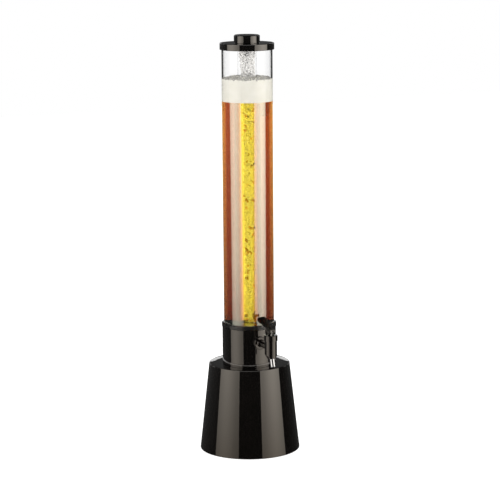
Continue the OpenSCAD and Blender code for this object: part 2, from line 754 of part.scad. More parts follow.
// Lid: a cover with a channel for the tube's edge and a hole for the ice tube
module lid() {
    r = lid_r;
    groove_z = lid_seal_z - lid_seal_d / 2 - 0.2;
    color(black) difference() {
        rotate_extrude($fn = smooth) polygon(concat(
            [[lid_hole_r, lid_roof], [lid_hole_r, lid_top]],
            arc(r - lid_edge_r, lid_top - lid_edge_r, lid_edge_r, 90, 0, 6),
            [[r, lid_z + 0.6], [r - 0.6, lid_z], [tube_d / 2 + slip_gap, lid_z]],
            [[tube_d / 2 + slip_gap, lid_roof], [lid_skirt_r, lid_roof], [lid_skirt_r, lid_z + 1]],
            [[lid_skirt_r - 1, lid_z], [lid_skirt_in, lid_z], [lid_skirt_in, lid_roof]]));
        ring(lid_skirt_r + over, lid_groove_r, groove_z, groove_z + lid_seal_d + 0.4);
    }
}

module lid_seal() {
    color(silicone) translate([0, 0, lid_seal_z]) rotate_extrude($fn = smooth)
        translate([lid_seal_r, 0]) circle(r = lid_seal_d / 2, $fn = 24);
}

module ice_tube() {
    color(clear) ring(ice_r, ice_r - ice_wall, ice_z + ice_plug_t, neck_top);
}

module ice_tube_plug() {
    plug_r = ice_r - ice_wall - fit_gap / 3;
    color(clear) union() {
        translate([0, 0, ice_z + 0.8]) cylinder(r = ice_r, h = ice_plug_t - 0.8, $fn = smooth);
        translate([0, 0, ice_z]) cylinder(r1 = ice_r - 0.8, r2 = ice_r, h = 0.8, $fn = smooth);
        translate([0, 0, ice_z + ice_plug_t - over / 2])
            cylinder(r = plug_r, h = 5 + over / 2, $fn = smooth);
    }
}

module neck_ring() {
    color(black) rotate_extrude($fn = smooth) polygon([
        [neck_bore_r, lid_top - neck_spigot_h], [neck_spigot_r - 0.5, lid_top - neck_spigot_h],
        [neck_spigot_r, lid_top - neck_spigot_h + 0.5], [neck_spigot_r, lid_top],
        [neck_flange_r, lid_top], [neck_flange_r, lid_top + neck_flange_t],
        [neck_r, lid_top + neck_flange_t], [neck_r, neck_top - 0.6], [neck_r - 0.6, neck_top],
        [neck_bore_r, neck_top]]);
}

module ice_cap() {
    r = cap_r;
    top = cap_z + cap_h;
    color(black) rotate_extrude($fn = smooth) polygon(concat(
        [[0, cap_roof], [0, top]],
        arc(r - cap_edge_r, top - cap_edge_r, cap_edge_r, 90, 0, 8),
        [[r, cap_z + 0.5], [r - 0.5, cap_z], [cap_flange_r, cap_z]],
        [[cap_flange_r, lid_top + neck_flange_t + slip_gap]],
        [[cap_bore_r, lid_top + neck_flange_t + slip_gap]],
        [[cap_bore_r, cap_roof]]));
}

module cap_gasket() {
    color(silicone) ring(cap_bore_r - 0.1, ice_r - ice_wall, neck_top, cap_roof);
}

base_shell();
rubber_pads();
collar();
collar_floor();
collar_screws();
tube_gasket();
tower_tube();
foot_ring();
tap_body();
outer_washer();
inner_washer();
tap_nut();
tap_bonnet();
spout_sleeve();
plunger_stem();
piston_ring();
valve_rubber();
plunger_spring();
lever();
lever_pin();
lid();
lid_seal();
ice_tube();
ice_tube_plug();
neck_ring();
ice_cap();
cap_gasket();
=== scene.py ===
import math

import bmesh
import bpy
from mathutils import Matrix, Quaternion, Vector, noise


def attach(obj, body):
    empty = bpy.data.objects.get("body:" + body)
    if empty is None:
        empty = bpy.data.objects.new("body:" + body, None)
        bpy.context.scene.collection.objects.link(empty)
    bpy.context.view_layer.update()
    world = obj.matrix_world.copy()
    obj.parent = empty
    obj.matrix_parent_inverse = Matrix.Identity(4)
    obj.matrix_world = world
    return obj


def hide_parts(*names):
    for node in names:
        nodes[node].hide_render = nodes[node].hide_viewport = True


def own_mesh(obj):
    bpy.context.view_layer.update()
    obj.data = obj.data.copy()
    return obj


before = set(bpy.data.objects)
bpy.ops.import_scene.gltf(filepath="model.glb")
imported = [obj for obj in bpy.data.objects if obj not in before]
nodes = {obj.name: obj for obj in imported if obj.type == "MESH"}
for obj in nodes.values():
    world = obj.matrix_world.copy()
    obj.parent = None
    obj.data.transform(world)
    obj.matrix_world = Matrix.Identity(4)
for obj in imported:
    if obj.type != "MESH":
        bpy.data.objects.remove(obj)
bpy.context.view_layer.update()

# Beer tower dispenser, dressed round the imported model. Blender works in metres, the dictionaries in millimetres.
mm = 0.001
weld = 0.00001    # metres, within which two corners are one
once = 0.5        # a ray's depth above this is one bounce or more
scene = bpy.context.scene
print("frame loaded:", len(nodes), "nodes")


def toLinear(hexColour):
    parts = [int(hexColour[i:i + 2], 16) / 255 for i in (1, 3, 5)]
    return [c / 12.92 if c <= 0.04045 else ((c + 0.055) / 1.055) ** 2.4 for c in parts] + [1.0]


# Adds one node. An input is a number, a node or a socket; stops are the colours of a Color Ramp.
def addNode(tree, kind, inputs=None, stops=(), **settings):
    node = tree.nodes.new(kind)
    for name, value in settings.items():
        setattr(node, name, value)
    for socket, value in (inputs or {}).items():
        if isinstance(value, bpy.types.Node):
            tree.links.new(value.outputs[0], node.inputs[socket])
        elif isinstance(value, bpy.types.NodeSocket):
            tree.links.new(value, node.inputs[socket])
        else:
            node.inputs[socket].default_value = value
    for i, (place, colour) in enumerate(stops):
        elements = node.color_ramp.elements
        element = elements[i] if i < len(elements) else elements.new(place)
        element.position = place
        element.color = toLinear(colour)
    return node


def newMaterial(name):
    material = bpy.data.materials.new(name)
    material.use_nodes = True
    material.node_tree.nodes.clear()
    return material, material.node_tree


# Camera and studio. The camera's place was fitted to the photograph's rings and edges. What gloss sees is darker
# than the white backdrop, apart from the two softboxes and a low pale band, as the black plastic shows.
studio = {
    "cameraPlace": (-1549, -3649, 1113),
    "aimHeight": 403.5,
    "roll": -0.00796,          # radians
    "sensor": 36,
    "focal": 145.8,
    "shiftRight": 0.003,       # of the picture's width
    "sightEnd": 50000,
    "lampDistance": 1600,
    "lampHeight": 2600,
    "lampMiddle": 300,         # the lamps reach below the table, as the stand's gloss shows them
    "lampLean": 14,            # degrees that their tops lean away from the camera
    "leftLamp": (29, 87),      # degrees from the camera that each lamp spans
    "rightLamp": (31, 90),
    "leftPower": 3.2,          # watts for each square metre
    "rightPower": 4.2,
    "lampEdge": 0.6,           # brightness at a lamp's sides, against its brightest line
    "lampBright": 0.58,        # place of that line, from the side next to the camera
    "lampFade": 0.55,          # part of the lamp's width in which it falls to the brightness of its sides
    "lampFoot": 0.8,           # brightness at its foot, and at its top
    "lampTop": 1.25,
    "lampColour": "#fff8ee",
    "ambient": 0.8,            # what dull surfaces get from the room
    "glossFront": 0.012,       # what gloss sees on the camera's side, and on the far side
    "glossBehind": 0.05,
    "behindTurn": 22,          # degrees that this far side lies left of straight behind
    "behindFrom": -0.2,        # cosines of the angle from it, where gloss begins to pale and where it is palest
    "behindFull": 0.9,
    "bandLow": 0.14,           # sines of the heights between which gloss sees the pale backdrop
    "bandHigh": 0.2185,
    "bandLowFade": 0.003,      # what each edge of that band fades by, to either side
    "bandHighFade": 0.001,
    "outerFaces": 4.5,         # light that has passed more clear faces than this was in the ice tube
    "tableHalf": 6000,
    "tableColour": "#e7e7e7",
    "tableGlow": 0.72,
    "clearBounces": 32,
    "dullBounces": 8,
}


def makeCamera(s):
    data = bpy.data.cameras.new("photoCamera")
    data.sensor_width = s["sensor"]
    data.lens = s["focal"]
    data.shift_x = s["shiftRight"]
    data.clip_end = s["sightEnd"] * mm
    camera = bpy.data.objects.new("photoCamera", data)
    scene.collection.objects.link(camera)
    camera.location = Vector(s["cameraPlace"]) * mm
    aim = Vector((0, 0, s["aimHeight"] * mm)) - camera.location
    camera.rotation_mode = "QUATERNION"
    camera.rotation_quaternion = aim.to_track_quat("-Z", "Y") @ Quaternion((0, 0, 1), s["roll"])
    scene.camera = camera


def makeLamp(name, s, span, power, side):
    away = s["lampDistance"] * mm
    data = bpy.data.lights.new(name, "AREA")
    data.shape = "RECTANGLE"
    data.size = 2 * away * math.tan(math.radians(span[1] - span[0]) / 2)
    data.size_y = s["lampHeight"] * mm
    data.energy = power * data.size * data.size_y
    data.color = toLinear(s["lampColour"])[:3]
    data.use_nodes = True
    tree = data.node_tree
    tree.nodes.clear()
    # brightest along one upright line and towards its top, as a softbox with one tube is
    spot = addNode(tree, "ShaderNodeNewGeometry").outputs["Parametric"]
    spot = addNode(tree, "ShaderNodeSeparateXYZ", {0: spot})
    across = addNode(tree, "ShaderNodeMath", {0: spot.outputs["X"], 1: 0.5 + side * (s["lampBright"] - 0.5)},
                     operation="SUBTRACT")
    across = addNode(tree, "ShaderNodeMath", {0: across}, operation="ABSOLUTE")
    across = addNode(tree, "ShaderNodeMapRange", {
        "Value": across, "From Max": s["lampFade"], "To Min": 1.0, "To Max": s["lampEdge"]},
        interpolation_type="SMOOTHSTEP")
    upward = addNode(tree, "ShaderNodeMapRange", {
        "Value": spot.outputs["Y"], "To Min": s["lampFoot"], "To Max": s["lampTop"]})
    level = addNode(tree, "ShaderNodeMath", {0: across, 1: upward}, operation="MULTIPLY")
    shine = addNode(tree, "ShaderNodeEmission", {"Strength": level})
    addNode(tree, "ShaderNodeOutputLight", {"Surface": shine})
    lamp = bpy.data.objects.new(name, data)
    scene.collection.objects.link(lamp)
    turn = math.atan2(s["cameraPlace"][1], s["cameraPlace"][0]) + side * math.radians(sum(span) / 2)
    lamp.location = (away * math.cos(turn), away * math.sin(turn), s["lampMiddle"] * mm)
    lamp.rotation_mode = "QUATERNION"
    facing = Vector((-math.cos(turn), -math.sin(turn), 0)).to_track_quat("-Z", "Y")
    lamp.rotation_quaternion = facing @ Quaternion((0, 0, 1), -side * math.radians(s["lampLean"]))
    lamp.visible_camera = False


def makeWorld(s):
    world = bpy.data.worlds.new("paleStudio")
    world.use_nodes = True
    tree = world.node_tree
    tree.nodes.clear()
    turn = math.atan2(-s["cameraPlace"][1], -s["cameraPlace"][0]) + math.radians(s["behindTurn"])
    rays = addNode(tree, "ShaderNodeLightPath")
    sky = addNode(tree, "ShaderNodeTexCoord").outputs["Generated"]
    height = addNode(tree, "ShaderNodeSeparateXYZ", {0: sky}).outputs["Z"]
    flat = addNode(tree, "ShaderNodeVectorMath", {0: sky, 1: (1, 1, 0)}, operation="MULTIPLY")
    flat = addNode(tree, "ShaderNodeVectorMath", {0: flat}, operation="NORMALIZE")
    along = addNode(tree, "ShaderNodeVectorMath", {0: flat, 1: (math.cos(turn), math.sin(turn), 0)},
                    operation="DOT_PRODUCT").outputs["Value"]
    behind = addNode(tree, "ShaderNodeMapRange", {
        "Value": along, "From Min": s["behindFrom"], "From Max": s["behindFull"],
        "To Min": s["glossFront"], "To Max": s["glossBehind"]})
    above = addNode(tree, "ShaderNodeMapRange", {
        "Value": height, "From Min": s["bandLow"] - s["bandLowFade"],
        "From Max": s["bandLow"] + s["bandLowFade"]})
    below = addNode(tree, "ShaderNodeMapRange", {
        "Value": height, "From Min": s["bandHigh"] + s["bandHighFade"],
        "From Max": s["bandHigh"] - s["bandHighFade"]})
    band = addNode(tree, "ShaderNodeMath", {0: above, 1: below}, operation="MULTIPLY")
    gloss = addNode(tree, "ShaderNodeMath", {0: band, 1: behind}, operation="MAXIMUM")
    # light that has met a glossy or a dull surface keeps to that, also after it has passed a clear wall, but what
    # the ice tube turns aside comes from the pale room
    mirrored = addNode(tree, "ShaderNodeMath", {0: rays.outputs["Glossy Depth"], 1: once},
                       operation="GREATER_THAN")
    outer = addNode(tree, "ShaderNodeMath", {0: rays.outputs["Transmission Depth"], 1: s["outerFaces"]},
                    operation="LESS_THAN")
    mirrored = addNode(tree, "ShaderNodeMath", {0: mirrored, 1: outer}, operation="MULTIPLY")
    spread = addNode(tree, "ShaderNodeMath", {0: rays.outputs["Diffuse Depth"], 1: once},
                     operation="GREATER_THAN")
    direct = addNode(tree, "ShaderNodeMix", {0: mirrored, 2: 1.0, 3: gloss})
    strength = addNode(tree, "ShaderNodeMix", {0: spread, 2: direct, 3: s["ambient"]})
    pale = addNode(tree, "ShaderNodeBackground", {"Color": toLinear("#ffffff"), "Strength": strength})
    addNode(tree, "ShaderNodeOutputWorld", {"Surface": pale})
    scene.world = world


def makeFloor(s):
    half = s["tableHalf"] * mm
    mesh = bpy.data.meshes.new("table")
    mesh.from_pydata([(-half, -half, 0), (half, -half, 0), (half, half, 0), (-half, half, 0)], [], [(0, 1, 2, 3)])
    floor = bpy.data.objects.new("table", mesh)
    scene.collection.objects.link(floor)
    material, tree = newMaterial("paintedTable")
    rays = addNode(tree, "ShaderNodeLightPath")
    seen = addNode(tree, "ShaderNodeMath", {
        0: rays.outputs["Is Camera Ray"], 1: rays.outputs["Is Transmission Ray"]}, operation="MAXIMUM")
    glow = addNode(tree, "ShaderNodeMath", {0: seen, 1: s["tableGlow"]}, operation="MULTIPLY")
    paint = addNode(tree, "ShaderNodeBsdfDiffuse", {"Color": toLinear(s["tableColour"])})
    shine = addNode(tree, "ShaderNodeEmission", {"Strength": glow})
    both = addNode(tree, "ShaderNodeAddShader", {0: paint, 1: shine})
    # gloss doesn't see the table, also where the reflected light has passed a clear wall
    mirrored = addNode(tree, "ShaderNodeMath", {0: rays.outputs["Glossy Depth"], 1: once},
                       operation="GREATER_THAN")
    passing = addNode(tree, "ShaderNodeBsdfTransparent")
    both = addNode(tree, "ShaderNodeMixShader", {0: mirrored, 1: both, 2: passing})
    addNode(tree, "ShaderNodeOutputMaterial", {"Surface": both})
    mesh.materials.append(material)
    floor.visible_glossy = False


makeCamera(studio)
makeLamp("softboxLeft", studio, studio["leftLamp"], studio["leftPower"], -1)
makeLamp("softboxRight", studio, studio["rightLamp"], studio["rightPower"], 1)
makeWorld(studio)
makeFloor(studio)
scene.view_settings.view_transform = "Standard"
scene.cycles.max_bounces = studio["clearBounces"]
scene.cycles.transmission_bounces = studio["clearBounces"]
scene.cycles.transparent_max_bounces = studio["clearBounces"]
scene.cycles.diffuse_bounces = studio["dullBounces"]
scene.cycles.glossy_bounces = studio["dullBounces"]
print("studio ready")


# Injection-moulded ABS from a polished tool: black and mirror-bright, with a faint orange peel and a little dust.
# Its polish falls towards the foot, as the bright strips do in the photograph. On the stand, a bump lets the deck
# fall away towards its edge, so that its far side catches the backdrop.
absLook = {"dark": "#080706", "light": "#0c0a09", "dust": "#332f2c", "tint": "#fff6ea", "ior": 1.53, "specular": 0.9,
           "coatIor": 1.7, "coatRough": 0.02, "peelDepth": 0.4}
stand = {"foot": 0, "top": 176, "footPolish": 0.0, "topPolish": 1.0, "rough": 0.018, "peel": 0.05, "deckFlat": 60,
         "deckEdge": 81, "deckFall": 0.85, "deckCurve": 3.0}
cover = {"foot": 176, "top": 800, "footPolish": 0.65, "topPolish": 1.4, "rough": 0.03, "peel": 0.08}
tapPlastic = {"foot": 176, "top": 290, "footPolish": 0.5, "topPolish": 0.6, "rough": 0.06, "peel": 0.1}


def makeAbs(name, look, s):
    material, tree = newMaterial(name)
    place = addNode(tree, "ShaderNodeTexCoord").outputs["Object"]
    flow = addNode(tree, "ShaderNodeTexNoise", {"Vector": place, "Scale": 30.0, "Detail": 3.0})      # 33 mm long
    dust = addNode(tree, "ShaderNodeTexNoise", {"Vector": place, "Scale": 1400.0, "Detail": 2.0})    # 0.7 mm specks
    skin = addNode(tree, "ShaderNodeTexNoise", {"Vector": place, "Scale": 160.0, "Detail": 1.0})     # 6 mm peel
    colour = addNode(tree, "ShaderNodeValToRGB", {"Fac": flow}, [(0.3, look["dark"]), (0.7, look["light"])])
    speck = addNode(tree, "ShaderNodeMapRange", {"Value": dust, "From Min": 0.74, "From Max": 0.8})
    dusty = addNode(tree, "ShaderNodeMix", {0: speck, 6: colour, 7: toLinear(look["dust"])}, data_type="RGBA")
    shine = addNode(tree, "ShaderNodeMapRange", {
        "Value": flow, "From Min": 0.3, "From Max": 0.7, "To Min": s["rough"], "To Max": s["rough"] * 1.6})
    height = addNode(tree, "ShaderNodeSeparateXYZ", {0: place}).outputs["Z"]
    polish = addNode(tree, "ShaderNodeMapRange", {
        "Value": height, "From Min": s["foot"] * mm, "From Max": s["top"] * mm, "To Min": s["footPolish"],
        "To Max": s["topPolish"]})
    peel = {"Height": skin, "Strength": s["peel"], "Distance": look["peelDepth"] * mm}
    if "deckFall" in s:
        flat = addNode(tree, "ShaderNodeVectorMath", {0: place, 1: (1, 1, 0)}, operation="MULTIPLY")
        radius = addNode(tree, "ShaderNodeVectorMath", {0: flat}, operation="LENGTH").outputs["Value"]
        slope = addNode(tree, "ShaderNodeMapRange", {
            "Value": radius, "From Min": s["deckFlat"] * mm, "From Max": s["deckEdge"] * mm})
        slope = addNode(tree, "ShaderNodeMath", {0: slope, 1: s["deckCurve"]}, operation="POWER")
        fall = addNode(tree, "ShaderNodeMath", {0: slope, 1: -s["deckFall"] * mm}, operation="MULTIPLY")
        peel["Normal"] = addNode(tree, "ShaderNodeBump", {"Height": fall, "Strength": 1.0, "Distance": 1.0})
    normal = addNode(tree, "ShaderNodeBump", peel)
    body = addNode(tree, "ShaderNodeBsdfPrincipled", {
        "Base Color": dusty.outputs[2], "Roughness": shine, "Normal": normal, "IOR": look["ior"],
        "Specular IOR Level": look["specular"], "Specular Tint": toLinear(look["tint"]), "Coat Weight": polish,
        "Coat Roughness": look["coatRough"], "Coat IOR": look["coatIor"], "Coat Normal": normal})
    addNode(tree, "ShaderNodeOutputMaterial", {"Surface": body})
    return material


# Extruded acrylic pipe: water-clear and smooth, with hair-fine draw lines along it. Shadow rays pass, so that the
# lamps reach what is inside.
acrylicLook = {"colour": "#ffffff", "lineRough": 0.012, "beadDepth": 1.0, "shadowPass": 0.96}


def makeAcrylic(name, s, ior, ripple=0.0):
    material, tree = newMaterial(name)
    place = addNode(tree, "ShaderNodeTexCoord").outputs["Object"]
    drawn = addNode(tree, "ShaderNodeMapping", {"Vector": place, "Scale": (1, 1, 0.01)})
    lines = addNode(tree, "ShaderNodeTexNoise", {"Vector": drawn, "Scale": 900.0, "Detail": 2.0})    # 1 mm apart
    rough = addNode(tree, "ShaderNodeMapRange", {
        "Value": lines, "From Min": 0.3, "From Max": 0.7, "To Max": s["lineRough"]})
    runs = addNode(tree, "ShaderNodeMapping", {"Vector": place, "Scale": (1, 1, 0.35)})
    beads = addNode(tree, "ShaderNodeTexNoise", {"Vector": runs, "Scale": 300.0, "Detail": 2.0})     # 3 mm runs
    normal = addNode(tree, "ShaderNodeBump", {"Height": beads, "Strength": ripple, "Distance": s["beadDepth"] * mm})
    body = addNode(tree, "ShaderNodeBsdfPrincipled", {
        "Base Color": toLinear(s["colour"]), "IOR": ior, "Transmission Weight": 1.0, "Roughness": rough,
        "Normal": normal})
    rays = addNode(tree, "ShaderNodeLightPath")
    passing = addNode(tree, "ShaderNodeBsdfTransparent", {"Color": [s["shadowPass"]] * 3 + [1.0]})
    both = addNode(tree, "ShaderNodeMixShader", {0: rays.outputs["Is Shadow Ray"], 1: body, 2: passing})
    addNode(tree, "ShaderNodeOutputMaterial", {"Surface": both})
    return material


# Amber beer, filtered clear: it yellows what is behind it, goes brown where one looks along the wall, darker
# towards the foot, and its side against the wall shows the lamps as bright bands
beerLook = {
    "absorb": (0.99, 5.04, 45.0),    # of red, green and blue light, for each metre
    "foot": 250,
    "top": 640,
    "footTint": [(0.0, "#8c6a50"), (0.15, "#a8917c"), (0.5, "#d4c4b8"), (1.0, "#ffffff")],    # from foot to top
    "bandTint": [(0.0, "#8f9188"), (0.35, "#acb4a6"), (1.0, "#b4c4b6")],
    "bandRough": 0.03,
    # by how far a face turns from the eye: 0 is square to it and 1 is edge on
    "sideTint": [(0.016, "#ffffff"), (0.032, "#c88c74"), (0.05, "#a45a48"), (0.085, "#913d32"), (0.25, "#913d34"),
                 (0.275, "#a85a40"), (0.3, "#b87450"), (0.33, "#ac6c4c"), (0.36, "#d0a080")],
    "aside": (0.02, 0.06),           # where the tint by height comes in, on the same scale
    "between": 30,                   # a radius between the ice tube's wall and the large tube's
}


def makeBeer(s):
    material, tree = newMaterial("filteredBeer")
    place = addNode(tree, "ShaderNodeTexCoord").outputs["Object"]
    height = addNode(tree, "ShaderNodeSeparateXYZ", {0: place}).outputs["Z"]
    upward = addNode(tree, "ShaderNodeMapRange", {
        "Value": height, "From Min": s["foot"] * mm, "From Max": s["top"] * mm})
    deep = addNode(tree, "ShaderNodeValToRGB", {"Fac": upward}, s["footTint"])
    look = addNode(tree, "ShaderNodeLayerWeight", {"Blend": 0.5}).outputs["Facing"]
    brown = addNode(tree, "ShaderNodeValToRGB", {"Fac": look}, s["sideTint"])
    aside = addNode(tree, "ShaderNodeMapRange", {"Value": look, "From Min": s["aside"][0], "From Max": s["aside"][1]})
    tint = addNode(tree, "ShaderNodeMix", {0: aside, 6: brown, 7: deep}, data_type="RGBA", blend_type="MULTIPLY")
    # only where light enters by the outer wall, not at the ice tube's
    flat = addNode(tree, "ShaderNodeVectorMath", {0: place, 1: (1, 1, 0)}, operation="MULTIPLY")
    radius = addNode(tree, "ShaderNodeVectorMath", {0: flat}, operation="LENGTH").outputs["Value"]
    inner = addNode(tree, "ShaderNodeMath", {0: radius, 1: s["between"] * mm}, operation="LESS_THAN")
    rear = addNode(tree, "ShaderNodeNewGeometry").outputs["Backfacing"]
    rear = addNode(tree, "ShaderNodeMath", {0: rear, 1: inner}, operation="MAXIMUM")
    tint = addNode(tree, "ShaderNodeMix", {0: rear, 6: tint.outputs[2], 7: toLinear("#ffffff")}, data_type="RGBA")
    through = addNode(tree, "ShaderNodeBsdfTransparent", {"Color": tint.outputs[2]})
    glare = addNode(tree, "ShaderNodeValToRGB", {"Fac": upward}, s["bandTint"])
    bands = addNode(tree, "ShaderNodeBsdfGlossy", {"Color": glare, "Roughness": s["bandRough"]})
    bands = addNode(tree, "ShaderNodeMixShader", {0: rear, 1: bands})
    both = addNode(tree, "ShaderNodeAddShader", {0: through, 1: bands})
    most = max(s["absorb"])
    inside = addNode(tree, "ShaderNodeVolumeAbsorption", {
        "Color": [1 - a / most for a in s["absorb"]] + [1.0], "Density": most})
    addNode(tree, "ShaderNodeOutputMaterial", {"Surface": both, "Volume": inside})
    return material


# Beer foam: fine cream froth, with the cells of its bubbles
foamLook = {"dark": "#f5f4ea", "light": "#fcfbf4", "rough": 0.6, "specular": 0.3, "cellDepth": 0.8}


def makeFoam(s):
    material, tree = newMaterial("beerFoam")
    place = addNode(tree, "ShaderNodeTexCoord").outputs["Object"]
    cells = addNode(tree, "ShaderNodeTexVoronoi", {"Vector": place, "Scale": 420.0})                 # 2.4 mm bubbles
    cloud = addNode(tree, "ShaderNodeTexNoise", {"Vector": place, "Scale": 60.0, "Detail": 4.0})     # 17 mm patches
    colour = addNode(tree, "ShaderNodeValToRGB", {"Fac": cloud}, [(0.3, s["dark"]), (0.7, s["light"])])
    normal = addNode(tree, "ShaderNodeBump", {"Height": cells, "Strength": 0.3, "Distance": s["cellDepth"] * mm})
    body = addNode(tree, "ShaderNodeBsdfPrincipled", {
        "Base Color": colour, "Normal": normal, "Roughness": s["rough"], "Specular IOR Level": s["specular"]})
    addNode(tree, "ShaderNodeOutputMaterial", {"Surface": body})
    return material


# Bubble film: thin, wet and mostly clear
bubbleLook = {"dark": "#dedcd6", "light": "#ffffff", "clear": 0.6, "ior": 1.2, "rough": 0.08}


def makeBubble(s):
    material, tree = newMaterial("foamBubble")
    place = addNode(tree, "ShaderNodeTexCoord").outputs["Object"]
    film = addNode(tree, "ShaderNodeTexNoise", {"Vector": place, "Scale": 300.0, "Detail": 2.0})     # 3 mm patches
    colour = addNode(tree, "ShaderNodeValToRGB", {"Fac": film}, [(0.3, s["dark"]), (0.7, s["light"])])
    body = addNode(tree, "ShaderNodeBsdfPrincipled", {
        "Base Color": colour, "Transmission Weight": s["clear"], "IOR": s["ior"], "Roughness": s["rough"]})
    addNode(tree, "ShaderNodeOutputMaterial", {"Surface": body})
    return material


# Crushed ice: frosted white splinters, with amber flecks painted in as reflections of the beer round the ice tube,
# most of them at the foot, where they are painted shade as well, and none above the beer
iceLook = {
    "dark": "#f6f6f4",
    "light": "#ffffff",
    "paintedBeerLight": [(0.0, "#ffffff"), (0.86, "#ffffff"), (0.9, "#f8d8c0"), (0.95, "#c89a70"), (0.985, "#8a6248")],
    "foot": 256,
    "footPaintedShade": 0.3,         # chance added at the foot, which falls to none at the next height
    "paintedShadeTo": 300,
    "beerLightTo": 700,
    "beerLightFade": 4,
    "rough": 0.3,
    "ior": 1.31,
    "clear": 0.04,
    "specular": 0.6,
    "frost": 0.35,
    "frostDepth": 0.5,
}


def makeIce(s):
    material, tree = newMaterial("crushedIce")
    place = addNode(tree, "ShaderNodeTexCoord").outputs["Object"]
    crack = addNode(tree, "ShaderNodeTexNoise", {"Vector": place, "Scale": 260.0, "Detail": 3.0})    # 4 mm patches
    colour = addNode(tree, "ShaderNodeValToRGB", {"Fac": crack}, [(0.3, s["dark"]), (0.45, s["light"])])
    height = addNode(tree, "ShaderNodeSeparateXYZ", {0: place}).outputs["Z"]
    low = addNode(tree, "ShaderNodeMapRange", {
        "Value": height, "From Min": s["foot"] * mm, "From Max": s["paintedShadeTo"] * mm, "To Min": s["footPaintedShade"],
        "To Max": 0.0})
    high = addNode(tree, "ShaderNodeMapRange", {
        "Value": height, "From Min": (s["beerLightTo"] - s["beerLightFade"]) * mm, "From Max": s["beerLightTo"] * mm,
        "To Min": 0.0, "To Max": -1.0})
    # painted reflections of the beer round the ice tube, in flecks; the chance added at the foot is painted shade
    cell = addNode(tree, "ShaderNodeTexVoronoi", {"Vector": place, "Scale": 150.0}).outputs["Color"]  # 7 mm flecks
    chance = addNode(tree, "ShaderNodeSeparateXYZ", {0: cell}).outputs["X"]
    chance = addNode(tree, "ShaderNodeMath", {0: chance, 1: low}, operation="ADD")
    chance = addNode(tree, "ShaderNodeMath", {0: chance, 1: high}, operation="ADD")
    paintedBeerLight = addNode(tree, "ShaderNodeValToRGB", {"Fac": chance}, s["paintedBeerLight"])
    iceWithPaintedLight = addNode(tree, "ShaderNodeMix", {0: 1.0, 6: colour, 7: paintedBeerLight}, data_type="RGBA", blend_type="MULTIPLY")
    frost = addNode(tree, "ShaderNodeTexNoise", {"Vector": place, "Scale": 700.0, "Detail": 2.0})    # 1.4 mm grain
    normal = addNode(tree, "ShaderNodeBump", {
        "Height": frost, "Strength": s["frost"], "Distance": s["frostDepth"] * mm})
    body = addNode(tree, "ShaderNodeBsdfPrincipled", {
        "Base Color": iceWithPaintedLight.outputs[2], "Normal": normal, "Roughness": s["rough"], "IOR": s["ior"],
        "Transmission Weight": s["clear"], "Specular IOR Level": s["specular"]})
    addNode(tree, "ShaderNodeOutputMaterial", {"Surface": body})
    return material


# A plain finish: two close tones of one colour, with its roughness and bump from the same grain
def makePlain(name, s):
    material, tree = newMaterial(name)
    place = addNode(tree, "ShaderNodeTexCoord").outputs["Object"]
    laid = addNode(tree, "ShaderNodeMapping", {"Vector": place, "Scale": (1, 1, s.get("along", 1))})
    grain = addNode(tree, "ShaderNodeTexNoise", {"Vector": laid, "Scale": 1 / (s["grain"] * mm), "Detail": 3.0})
    colour = addNode(tree, "ShaderNodeValToRGB", {"Fac": grain}, [(0.3, s["dark"]), (0.7, s["light"])])
    shine = addNode(tree, "ShaderNodeMapRange", {
        "Value": grain, "From Min": 0.3, "From Max": 0.7, "To Min": s["rough"] * 0.8, "To Max": s["rough"] * 1.2})
    normal = addNode(tree, "ShaderNodeBump", {"Height": grain, "Strength": 0.3, "Distance": s["depth"] * mm})
    body = addNode(tree, "ShaderNodeBsdfPrincipled", {
        "Base Color": colour, "Roughness": shine, "Normal": normal, "Metallic": s.get("metallic", 0.0)})
    addNode(tree, "ShaderNodeOutputMaterial", {"Surface": body})
    return material


standAbs = makeAbs("polishedStandAbs", absLook, stand)
coverAbs = makeAbs("polishedCoverAbs", absLook, cover)
tapAbs = makeAbs("mouldedTapAbs", absLook, tapPlastic)
dryAcrylic = makeAcrylic("extrudedAcrylic", acrylicLook, 1.25)      # less than 1.49, so that dry walls stay white
outerAcrylic = makeAcrylic("polishedAcrylic", acrylicLook, 1.49)
wetAcrylic = makeAcrylic("wettedAcrylic", acrylicLook, 1.112)       # acrylic against beer: 1.49 over 1.34
# the inside of the ice tube, with drops of meltwater
beadedAcrylic = makeAcrylic("beadedAcrylic", acrylicLook, 1.49, ripple=0.7)
beerLiquid = makeBeer(beerLook)
foamFroth = makeFoam(foamLook)
bubbleFilm = makeBubble(bubbleLook)
iceSplinter = makeIce(iceLook)
# moulded silicone and rubber are dull, turned steel has rings, plated brass is a mirror, natural acetal is milky
siliconeMoulded = makePlain("mouldedSilicone", {
    "dark": "#c3c4c2", "light": "#d2d3d0", "rough": 0.45, "grain": 1.1, "depth": 0.05})
rubberMoulded = makePlain("mouldedRubber", {
    "dark": "#141414", "light": "#1f1e1e", "rough": 0.7, "grain": 0.7, "depth": 0.05})
steelTurned = makePlain("turnedStainless", {
    "dark": "#a9a8a6", "light": "#c4c3c1", "rough": 0.28, "grain": 0.8, "depth": 0.05, "along": 8, "metallic": 1.0})
chromePlate = makePlain("chromePlatedBrass", {
    "dark": "#dcdde0", "light": "#f0f1f3", "rough": 0.07, "grain": 2.5, "depth": 0.01, "metallic": 1.0})
acetalTurned = makePlain("turnedAcetal", {
    "dark": "#d9d6cc", "light": "#e8e5dc", "rough": 0.4, "grain": 1.1, "depth": 0.05})
print("materials ready")

